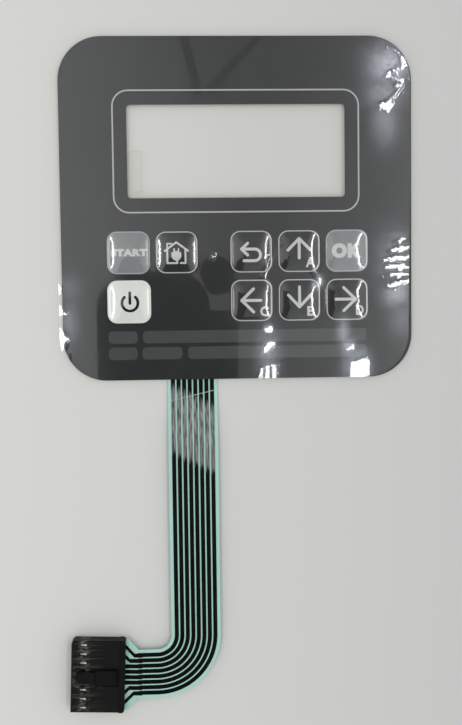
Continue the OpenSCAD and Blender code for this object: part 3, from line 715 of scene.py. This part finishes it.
def house_symbol():
    """A house outline whose floor line runs up into a plug."""
    width, thin = 0.52, 0.4
    left, right, floor = -2.6, 2.4, -2.95
    apex = (-0.1, 2.75)
    parts = [
        stroke(apex, (-3.3, 0.4), width),
        stroke(apex, (3.15, 0.4), width),
        stroke((left, 0.8), (left, floor), width),
        stroke((right, 0.8), (right, floor), width),
        stroke((left, floor), (0.15, floor), width),
        stroke((0.15, floor), (0.05, -2.2), width),
        stroke((1.1, floor), (right, floor), width),
        stroke((left, 0.8), (left, 2.4), thin),
        stroke((left, 2.4), (-1.4, 2.4), thin),
        dot((-0.1, -0.95), 1.35),
        slab("shoulder", (-0.1, -0.42), (2.7, 1.0), -INK_T, INK_T, 0.3, 4),
        stroke((-0.7, 0.0), (-0.7, 0.95), thin),
        stroke((0.5, 0.0), (0.5, 0.95), thin),
    ]
    return joined(parts, "house_symbol")


def lettering(words, middle, width, cap_height, weight, spacing=1.0):
    """Letters from the built-in font, thickened, fitted to a width and a height."""
    bpy.ops.object.select_all(action="DESELECT")
    bpy.ops.object.text_add(location=(0, 0, 0))
    piece = bpy.context.object
    piece.data.body = words
    piece.data.offset = weight
    piece.data.extrude = INK_T
    piece.data.space_character = spacing
    piece.data.resolution_u = 6
    bpy.ops.object.convert(target="MESH")
    piece = bpy.context.object
    corners = [Vector(c) for c in piece.bound_box]
    low = Vector(map(min, *corners))
    high = Vector(map(max, *corners))
    fit = (width / (high.x - low.x), cap_height / (high.y - low.y))
    piece.scale = (fit[0], fit[1], 1)
    piece.location = (
        middle[0] - fit[0] * (low.x + high.x) / 2, middle[1] - fit[1] * (low.y + high.y) / 2, 0
    )
    bpy.ops.object.transform_apply(location=True, rotation=True, scale=True)
    piece.name = f"letters_{words.lower()}"
    return piece


def all_prints(pads):
    """What is printed on each key."""
    prints = {
        "start": [lettering("START", (0.15, 0.05), 10.1, 2.05, 0.08, 1.17)],
        "ok": [lettering("OK", (0, 0), 8.4, 4.1, 0.08, 1.16)],
        "home": [house_symbol()],
        "back": [arrow_back()],
        "up": [arrow("up"), lettering("A", (3.1, -3.05), 2.6, 2.8, 0.035)],
        "left": [arrow("left"), lettering("C", (3.55, -3.05), 2.5, 2.8, 0.035)],
        "down": [arrow("down"), lettering("B", (3.2, -3.1), 2.15, 2.7, 0.035)],
        "right": [arrow("right"), lettering("D", (3.55, -3.0), 2.2, 2.7, 0.035)],
        "power": [power_symbol()],
    }
    for key, pieces in prints.items():
        for piece in pieces:
            alone(piece)
            piece.location = (*KEYS[key], 0)
            bpy.ops.object.transform_apply(location=True, rotation=True, scale=True)
            lay_on(piece, pads[key])
            ink = symbol_black if key == "power" else pale_print
            finish_piece(piece, [ink], angle=20)


def swells(x, y, size, seed):
    """Smooth noise from -1 to 1 whose swells are about size millimetres long."""
    table = np.random.default_rng(seed).uniform(-1, 1, (64, 64))
    u, v = x / size, y / size
    i, j = np.floor(u).astype(int), np.floor(v).astype(int)
    a, b = u - i, v - j
    a, b = a**3 * (a * (6 * a - 15) + 10), b**3 * (b * (6 * b - 15) + 10)
    low = table[i % 64, j % 64] * (1 - a) + table[(i + 1) % 64, j % 64] * a
    high = table[i % 64, (j + 1) % 64] * (1 - a) + table[(i + 1) % 64, (j + 1) % 64] * a
    return low * (1 - b) + high * b


def to_line(x, y, points):
    """Distance to a line through points."""
    nearest = np.full(x.shape, 1e9)
    for (ax, ay), (bx, by) in zip(points, points[1:]):
        dx, dy = bx - ax, by - ay
        share = np.clip(((x - ax) * dx + (y - ay) * dy) / (dx * dx + dy * dy), 0, 1)
        nearest = np.minimum(nearest, np.hypot(x - ax - share * dx, y - ay - share * dy))
    return nearest


def patch(x, y, middle, size):
    """A soft patch: 1 at its middle, 0 well outside."""
    u, v = (x - middle[0]) / size[0], (y - middle[1]) / size[1]
    return np.exp(-(u * u + v * v))


def step(x, start, end):
    """Rises smoothly from 0 to 1 between two places."""
    t = np.clip((x - start) / (end - start), 0, 1)
    return t * t * (3 - 2 * t)


# Where the film is crinkled: middle, size and depth of each patch
CRINKLED = (
    ((43.0, 35.0), (7, 9), 0.006), ((45.0, -15.0), (5, 10), 0.003), ((8.0, -40.0), (4, 9), 0.003),
    ((33.0, -42.0), (6, 7), 0.003), ((-47.5, -28.0), (3.5, 12), 0.006), ((8.0, -14.0), (3.5, 9), 0.02),
    ((21.5, -17.0), (3, 12), 0.02), ((33.5, -18), (3, 12), 0.02),
)

# Creases: half width, then the line that each follows
CREASES = (
    (0.9, ((9.2, -13.4), (8.4, -15.5), (7.4, -17.7), (7.0, -19.3), (7.5, -20.1), (8.4, -21.3))),
    (0.7, ((10.0, -13.3), (11.0, -11.9), (11.1, -11.0), (11.9, -9.8), (11.4, -8.3))),
    (1.1, ((20.8, -17.4), (21.6, -18.5), (22.2, -19.7), (22.4, -20.7))),
    (1.0, ((23.8, -22.5), (23.9, -24.1), (23.8, -26.8))),
    (0.7, ((23.4, -8.8), (24.3, -10.2), (24.1, -11.1), (24.5, -13.3), (24.3, -15.2))),
    (0.7, ((-6.6, -12.0), (-6.5, -12.9), (-7.0, -13.8))),
    (0.6, ((-6.5, -12.8), (-5.9, -11.9))),
)

# Flat facets of the film that catch a strip light: how many pleats each has, its lean
# in y, then the polygons that lie in its plane
FACETS = (
    (1, 0.0, ((43.7, -9.4), (45.0, -9.8), (47.5, -8.8), (47.5, -8.3), (45.6, -8.4))),
    (1, 0.0, ((41.8, -12.0), (43.7, -12.3), (46.0, -12.0), (49.0, -11.3), (49.0, -10.3), (45.0, -10.7))),
    (
        1, 0.0,
        ((39.8, -14.5), (41.5, -15.4), (43.7, -15.0), (49.0, -14.4), (49.0, -13.0), (42.8, -13.5)),
        ((40.0, -17.2), (42.8, -17.2), (49.0, -17.2), (49.0, -16.5), (45.0, -15.6), (42.0, -15.8)),
    ),
    (1, 0.0, ((40.7, -19.1), (42.8, -19.3), (45.8, -19.1), (49.0, -18.7), (49.0, -18.1), (42.4, -18.2))),
    (1, 0.0, ((41.1, -21.7), (43.7, -22.4), (45.8, -21.5), (49.0, -20.1), (49.0, -19.5), (43.7, -20.5))),
    (
        1, 0.0,
        ((45.2, 42.0), (45.5, 39.9), (46.4, 38.2), (47.9, 38.5), (47.1, 41.1)),
        ((46.0, 38.9), (41.8, 36.9), (42.4, 36.1), (45.2, 37.5), (47.7, 38.5)),
        ((41.3, 36.5), (41.5, 35.5), (43.9, 34.8), (46.5, 34.4), (46.1, 34.9), (42.8, 36.1)),
        ((43.8, 43.4), (44.9, 42.0), (45.5, 41.8), (44.3, 43.3)),
    ),
    (
        1, 0.03,
        ((44.7, 34.1), (43.5, 33.2), (44.3, 32.6), (46.1, 33.8)),
        ((45.9, 33.6), (43.8, 31.1), (44.4, 30.8), (46.4, 33.4)),
        ((43.8, 31.3), (42.0, 29.7), (42.5, 29.2), (44.4, 30.7)),
        ((39.1, 28.5), (40.2, 26.9), (41.9, 26.2), (43.4, 27.1), (43.7, 28.2), (43.0, 29.3), (42.1, 29.5)),
    ),
    (1, 0.1, ((47.9, 35.6), (47.3, 34.7), (47.6, 34.4), (48.3, 35.1))),
    (1, 0.0, ((41.7, 43.8), (41.8, 42.9), (42.3, 42.6), (42.6, 42.9))),
    (1, 0.1, ((48.3, 33.0), (46.4, 32.1), (46.6, 31.7), (48.5, 32.6))),
    (3, 0.0, ((6.5, -43.4), (5.2, -47.5), (10.8, -47.5), (10.8, -42.7))),
    (1, 0.0, ((6.9, -38.2), (6.8, -40.2), (8.6, -39.5), (10.5, -37.7), (10.6, -36.1), (8.2, -36.7))),
    (1, 0.0, ((6.9, -33.3), (7.7, -34.3), (9.1, -34.2), (10.0, -32.8), (9.6, -32.1), (8.0, -32.4))),
    (1, 0.0, ((31.1, -42.8), (30.8, -47.5), (35.3, -47.5), (37.1, -45.2), (36.6, -42.2), (35.3, -41.7))),
    (1, 0.0, ((30.4, -38.2), (30.5, -39.4), (32.0, -39.8), (32.9, -38.7), (32.0, -37.6))),
    (1, 0.0, ((-49.5, -25.4), (-49.5, -29.2), (-47.2, -28.6), (-48.4, -26.4))),
    (1, 0.0, ((-49.5, -31.6), (-49.5, -38.6), (-48.2, -38.8), (-47.0, -35.2), (-48.4, -32.6))),
    (1, 0.0, ((-49.5, -19.6), (-49.5, -23.8), (-48.7, -22.8), (-48.7, -20.4))),
    (1, 0.0, ((-48.2, -41.6), (-47.2, -41.4), (-46.8, -39.8), (-47.8, -40.2))),
)


def lit_slope(x):
    """Slope in x at which the film mirrors a strip light into the camera: the left
    strip at the left edge, the right strip elsewhere."""
    return np.where(x < -40, 0.213, -0.15) + 0.00225 * x


def within(x, y, corners):
    """How far inside a polygon each place is, negative outside it."""
    inside = np.full(x.shape, 1e9)
    for (ax, ay), (bx, by) in zip(corners, corners[1:] + corners[:1]):
        across = (bx - ax) * (y - ay) - (by - ay) * (x - ax)
        inside = np.minimum(inside, across / np.hypot(bx - ax, by - ay))
    return inside


def facet(rise, x, y, jag_x, jag_y, pleats, lean, polygons):
    """Lays a flat facet, or a row of pleats, into the film within polygons whose sides
    are a little jagged."""
    inside = np.max([within(jag_x, jag_y, corners) for corners in polygons], axis=0)
    share = step(inside, -0.3, -0.05)
    if share.max() < 0.5:
        return rise
    ends = [corner for corners in polygons for corner in corners]
    middle_x, middle_y = np.mean(ends, axis=0)
    left, right = min(c[0] for c in ends), max(c[0] for c in ends)
    # Each pleat rises over most of its width and falls back over the rest
    wide = (right - left) / pleats
    along = x - left - wide * np.clip(np.floor((x - left) / wide), 0, pleats - 1)
    fold = np.where(along < 0.88 * wide, along - 0.5 * wide, 2 * (wide - along) - 0.4 * wide)
    fold = np.where(pleats > 1, fold, along - 0.5 * wide)
    # The facet lies no lower than the panel's front lets it
    lowest = 0.5 * wide * abs(float(lit_slope(middle_x))) - 0.03
    level = max((rise * share).sum() / share.sum(), lowest)
    plane = level + fold * lit_slope(x) + lean * (y - middle_y)
    return rise + share * (plane - rise)


# Where air lifts the film: height, middle and size of each swelling
SWELLINGS = ((0.06, (38.0, 33.0), (9.0, 12.0)), (0.05, (-46.5, -30.0), (2.6, 12.0)))

# How far from a key's middle the film folds up, and how soft that fold is
FILM_KEY_REACH = 5.5
FILM_FOLD = 0.02


def key_gauge(x, y, key):
    """How far out a place is on a key's pillow: 0 at its middle, 1 at its foot."""
    u, v = np.abs(x - key[0]) / FILM_KEY_REACH, np.abs(y - key[1]) / FILM_KEY_REACH
    return (u**6 + v**6) ** (1 / 6)


def film_height(x, y):
    """Height of the loose film above the panel's front: it follows the pillows of the
    keys, swells where air is trapped, and is creased."""
    rise = np.zeros(x.shape)
    for key in KEYS.values():
        pillow = PAD_RISE * (1 - key_gauge(x, y, key) ** PAD_POWER)
        rise += FILM_FOLD * np.logaddexp(0, np.clip(pillow / FILM_FOLD, -90, 90))
    crinkled = np.zeros(x.shape)
    for middle, size, depth in CRINKLED:
        crinkled = np.maximum(crinkled, depth * patch(x, y, middle, size))
    rise += 0.02 * swells(x, y, 13.0, 3)
    rise += crinkled * (swells(x, y, 1.7, 4) + 0.35 * swells(x, y, 0.8, 12))
    for height, middle, size in SWELLINGS:
        rise += height * patch(x, y, middle, size)
    # Its right edge stands up beside the keys
    rise += 0.05 * step(x, 34, 41.5) * patch(x, y, (45, -15), (1e3, 8.5))
    jag_x = x + 0.1 * swells(x, y, 1.1, 5)
    jag_y = y + 0.1 * swells(x, y, 1.1, 7)
    for width, points in CREASES:
        near = np.clip(width - to_line(jag_x, jag_y, points), 0, None)
        rise -= 1.02 * lit_slope(x) * near
    jag_x = x + 0.1 * swells(x, y, 1.4, 15)
    jag_y = y + 0.1 * swells(x, y, 1.4, 17)
    for pleats, lean, *polygons in FACETS:
        rise = facet(rise, x, y, jag_x, jag_y, pleats, lean, polygons)
    return rise


# Where fine crinkles scatter light: middle, size and strength of each patch
HALOS = (
    ((42.0, 38.9), (5.4, 5.2), 3.8), ((41.0, 31.6), (4.8, 4.4), 2.4), ((41.2, 24.0), (3.4, 6.0), 1.8),
    ((43.5, -14.5), (5.0, 7.0), 1.4), ((44.4, -23.7), (3.8, 4.0), 2.2), ((44.2, -8.0), (3.5, 2.0), 1.0),
    ((45.5, -30.0), (3.5, 6.0), 0.9),
    ((8.2, -33.0), (1.4, 1.6), 4.0), ((8.2, -41.0), (2.8, 7.0), 4.0),
    ((33.0, -43.8), (3.2, 4.0), 4.2), ((29.3, -34.6), (1.6, 3.6), 2.6), ((30.8, -38.8), (1.8, 2.2), 4.0),
    ((22.4, -20.5), (1.4, 1.8), 3.0), ((-46.5, -21.5), (3.0, 4.0), 1.1), ((-46.5, -31.0), (2.6, 6.0), 1.8),
)


def scatter(x, y):
    """How much of the film's gloss is scattered by fine crinkles."""
    amount = np.zeros(x.shape)
    for middle, size, strength in HALOS:
        amount = np.maximum(amount, strength * patch(x, y, middle, size))
    return amount * (0.9 + 0.2 * swells(x, y, 2.5, 21))


def tucked_in(x, y):
    """1 where the film is pressed into the foot of a key, dulled by what it touches."""
    foot = np.full(x.shape, 1e9)
    for key in KEYS.values():
        foot = np.minimum(foot, FILM_KEY_REACH * np.abs(key_gauge(x, y, key) - 1))
    return 1 - step(foot, 0.1, 0.4)


FILM_OVERHANG = 0.9
FILM_SHORT = 0.3
# The film was laid a little askew: its right edge draws in towards the bottom
FILM_SKEW = 0.012
FILM_T = 0.05
# Places of the grid's columns, as shares of half the width, then of its rows, in
# millimetres: closer together where the film is creased
FILM_COLUMNS = ((0, -1.0), (10, -0.93), (18, -0.75), (216, 0.78), (262, 1.0))
FILM_ROWS = ((0, -35.0), (74, -6.0), (88, 24.0), (113, 35.0))
CORNER_ROWS = 34


def protective_film():
    """The loose clear film: a fine grid squeezed into the panel's outline, then creased."""
    bpy.ops.object.select_all(action="DESELECT")
    columns, side_rows = FILM_COLUMNS[-1][0], FILM_ROWS[-1][0]
    rows = side_rows + 2 * CORNER_ROWS
    bpy.ops.mesh.primitive_grid_add(x_subdivisions=columns, y_subdivisions=rows, size=2)
    film = bpy.context.object
    film.name = "protective_sheet"
    places = np.array([v.co for v in film.data.vertices])
    across = np.interp((places[:, 0] + 1) / 2 * columns, *zip(*FILM_COLUMNS))
    row = np.round((places[:, 1] + 1) / 2 * rows) - CORNER_ROWS
    # Rows close up towards the very top and bottom, where the corner's arc is flat
    beyond = np.clip(np.maximum(-row, row - side_rows), 0, CORNER_ROWS)
    angle = beyond / CORNER_ROWS * math.pi / 2
    straight = np.interp(row, *zip(*FILM_ROWS))
    y = straight + np.sign(straight) * PANEL_R * np.sin(angle)
    y *= PANEL_H / 2 / (FILM_ROWS[-1][1] + PANEL_R)
    width = PANEL_W + FILM_OVERHANG - FILM_SHORT
    x = across * (width / 2 - PANEL_R + PANEL_R * np.cos(angle)) - (FILM_OVERHANG + FILM_SHORT) / 2
    x += FILM_SKEW * np.minimum(y - 10, 0) * np.clip(across, 0, 1)
    z = FRONT + 0.09 + film_height(x, y)
    film.data.vertices.foreach_set("co", np.stack([x, y, z], 1).astype(np.float32).ravel())
    film.data.attributes.new("crinkled", "FLOAT", "POINT").data.foreach_set("value", scatter(x, y))
    film.data.attributes.new("tucked", "FLOAT", "POINT").data.foreach_set("value", tucked_in(x, y))
    film.data.update()
    apply_modifier(film, "SOLIDIFY", thickness=FILM_T, offset=0)
    film.visible_shadow = False
    film.visible_diffuse = False
    return finish_piece(film, [protective], ["protective_film"], angle=12)


def copied_node(node_name, name):
    """A copy of a CAD node in millimetres, with its flat faces whole."""
    piece = nodes[node_name].copy()
    piece.data = nodes[node_name].data.copy()
    piece.name = name
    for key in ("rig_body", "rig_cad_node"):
        if key in piece:
            del piece[key]
    bpy.context.scene.collection.objects.link(piece)
    piece.parent = None
    alone(piece)
    piece.scale = (1 / MM, 1 / MM, 1 / MM)
    bpy.ops.object.transform_apply(location=True, rotation=True, scale=True)
    bpy.ops.object.mode_set(mode="EDIT")
    bpy.ops.mesh.select_all(action="SELECT")
    bpy.ops.mesh.remove_doubles(threshold=0.0005)
    bpy.ops.mesh.dissolve_limited(angle_limit=math.radians(1))
    bpy.ops.object.mode_set(mode="OBJECT")
    return piece


def softened_copy(node_name, name, material, width):
    """A copy of a CAD node with its edges rounded, as a moulding has them."""
    piece = copied_node(node_name, name)
    apply_modifier(piece, "BEVEL", width=width, segments=2, limit_method="ANGLE")
    finish_piece(piece, [material], [node_name])
    return apply_modifier(piece, "WEIGHTED_NORMAL", keep_sharp=True)


def in_latch_bed(place):
    """Whether a place, in millimetres, is over the sunk bed of the latch."""
    off = place - Vector((*BED_MIDDLE, 0))
    off.rotate(Matrix.Rotation(-BED_TURN, 3, "Z"))
    return abs(off.x) < BED_SIZE[0] / 2 + 0.1 and abs(off.y) < BED_SIZE[1] / 2 + 0.1 and off.z > 3.5


def receptacle_housing():
    """The housing, whose latch and sunk bed take the darker, unscuffed retainer nylon as painted
    shade, while its top is rubbed.
    """
    housing = softened_copy("connector_housing", "receptacle_housing", housing_nylon, 0.06)
    # Painted shade: the faces of the latch and its sunk bed get the darker nylon
    housing.data.materials.append(retainer_nylon)
    for face in housing.data.polygons:
        corners = [housing.data.vertices[index].co / MM for index in face.vertices]
        face.material_index = int(all(in_latch_bed(corner) for corner in corners))


# How far the wet ink spread past each track's edge when it was printed
INK_SPREAD = 0.07


def track_print():
    """The tracks as printed: a little wider than they were drawn."""
    tracks = copied_node("conductor_tracks", "track_print")
    bpy.ops.object.mode_set(mode="EDIT")
    bpy.ops.mesh.select_all(action="SELECT")
    bpy.ops.transform.shrink_fatten(value=INK_SPREAD, use_even_offset=True)
    bpy.ops.object.mode_set(mode="OBJECT")
    return finish_piece(tracks, [track_ink], ["conductor_tracks"], angle=20)


overlay_skin()
window_pane()
frame_line = line_loop("window_line", FRAME_LINE_MIDDLE, FRAME_LINE_SIZE, FRAME_LINE_R, LINE_W)
finish_piece(frame_line, [line_print])
tab_line = line_loop("film_tab_line", TAB_MIDDLE, TAB_SIZE, 0.4, 0.14)
finish_piece(tab_line, [tab_edge])
printed_bars()
key_pads = all_pads()
all_prints(key_pads)
for pad in key_pads.values():
    finish_piece(pad, None, ["graphic_overlay", "ink_layer"], angle=35)
protective_film()
track_print()
receptacle_housing()
softened_copy("rear_retainer", "receptacle_retainer", retainer_nylon, 0.08)

# Finishes of the CAD nodes that show as they are
NODE_FINISHES = {
    "release_liner": release_paper,
    "rear_adhesive": transfer_tape,
    "circuit_film": mint_film,
    "conductor_tracks": track_ink,
    "dome_spacer": spacer_film,
    "dome_retainer": spacer_film,
    "overlay_adhesive": clear_adhesive,
}
for node_name, node in nodes.items():
    if node.hide_render:
        continue
    finish = NODE_FINISHES.get(node_name, tin_plate_lightened)
    if node_name.startswith("dome_") and node_name not in NODE_FINISHES:
        finish = dome_steel
    node.data.materials.clear()
    node.data.materials.append(finish)


# Flags that only reflections see: middle, size, how round the corners are, turn and cloth.
# They hang over the lower half of the panel and over the tail, with two narrow ones over
# the panel's top
FLAGS = (
    ("flag_panel", (-0.037, -0.085, 0.4), (0.077, 0.165), 0.025, 0.0, "#555555"),
    ("flag_right", (0.004, -0.098, 0.401), (0.031, 0.136), 0.008, 0.0, "#555555"),
    ("flag_lobe", (0.0065, -0.006, 0.402), (0.021, 0.026), 0.009, 0.4, "#555555"),
    ("flag_tail", (-0.04, -0.29, 0.4), (0.16, 0.26), 0.01, 0.0, "#555555"),
    ("flag_stem", (-0.0105, 0.137, 0.4), (0.05, 0.006), 0.002, 1.78, "#a0a0a0"),
    ("flag_bough", (0.018, 0.134, 0.4), (0.05, 0.006), 0.002, 0.81, "#a0a0a0"),
)


def stage_floor():
    """A pale floor with painted shade, darker towards +X, and flags that only reflections see."""
    bpy.ops.object.select_all(action="DESELECT")
    bpy.ops.mesh.primitive_plane_add(size=4, location=(0, 0, -0.00005))
    floor = bpy.context.object
    floor.name = "floor"
    paper = blank("backdrop_paper_painted_shade")
    # Painted shade: the floor's colour runs darker towards +X, where less light reaches it
    across = spread(paper, axes(paper)["X"], -0.07, 0.07, 0.0, 1.0)
    tone = two_tone(paper, across, "#dadad5", "#cacac8")
    shader = add(paper, "ShaderNodeBsdfPrincipled", {"Base Color": tone, "Roughness": 0.9})
    floor.data.materials.append(finish_material(paper, shader.outputs[0]))
    for name, place, size, corner, turn, colour in FLAGS:
        bpy.ops.mesh.primitive_plane_add(size=1, location=place)
        flag = bpy.context.object
        flag.name = name
        flag.scale = (*size, 1)
        bpy.ops.object.transform_apply(location=False, rotation=False, scale=True)
        bpy.ops.object.mode_set(mode="EDIT")
        bpy.ops.mesh.select_all(action="SELECT")
        bpy.ops.mesh.bevel(offset=corner, segments=6, affect="VERTICES")
        bpy.ops.object.mode_set(mode="OBJECT")
        flag.rotation_euler.z = turn
        cloth = blank(f"{name}_cloth")
        weave = add(cloth, "ShaderNodeBsdfDiffuse", {"Color": linear(colour)})
        flag.data.materials.append(finish_material(cloth, weave.outputs[0]))
        flag.visible_camera = False
        flag.visible_diffuse = False
        flag.visible_shadow = False


def strip_light(name, place, size, strength):
    """A soft strip light, long in Y, that leans towards the middle."""
    light = bpy.data.lights.new(name, "AREA")
    light.shape = "RECTANGLE"
    light.size, light.size_y = size
    light.energy = strength
    holder = bpy.data.objects.new(name, light)
    bpy.context.scene.collection.objects.link(holder)
    holder.location = place
    holder.rotation_euler.y = math.atan2(place[0], place[2])
    return holder


def studio():
    """Even light from all round, a little weaker straight overhead, and a narrow strip at
    each side for the glints."""
    world = bpy.data.worlds.new("studio")
    bpy.context.scene.world = world
    world.use_nodes = True
    way = add(world, "ShaderNodeTexCoord").outputs["Generated"]
    parts = axes(world, way)
    sideways = maths(world, "ABSOLUTE", maths(world, "SUBTRACT", parts["X"], 0.07))
    aside = maths(world, "MULTIPLY_ADD", parts["Y"], -0.15, sideways)
    background = world.node_tree.nodes["Background"]
    background.inputs["Color"].default_value = (0.98, 0.99, 1.0, 1)
    overhead, all_round = 0.36, 0.78
    strength = spread(world, aside, 0.0, 0.18, overhead, all_round)
    world.node_tree.links.new(strength, background.inputs["Strength"])
    strip_light("strip_right", (0.36, 0.0, 1.0), (0.048, 0.8), 1.5)
    strip_light("strip_left", (-0.39, 0.0, 1.0), (0.048, 0.8), 1.5)


def camera():
    """A phone held nearly straight above the keypad, 28 cm away."""
    place = Vector((-0.0138, -0.0266, 0.2790))
    ahead = Vector((0.0417, -0.0570, -0.9975)).normalized()
    up = Vector((0.0151, 0.9983, -0.0564))
    right = ahead.cross(up).normalized()
    up = right.cross(ahead)
    lens = bpy.data.cameras.new("camera")
    lens.sensor_fit = "VERTICAL"
    lens.sensor_height = 36
    lens.lens = 49.66
    lens.clip_start = 0.01
    holder = bpy.data.objects.new("camera", lens)
    bpy.context.scene.collection.objects.link(holder)
    turn = Matrix((right, up, -ahead)).transposed().to_4x4()
    holder.matrix_world = Matrix.Translation(place) @ turn
    bpy.context.scene.camera = holder


stage_floor()
studio()
camera()
bpy.context.scene.view_settings.view_transform = "Standard"
bpy.context.scene.cycles.transparent_max_bounces = 32
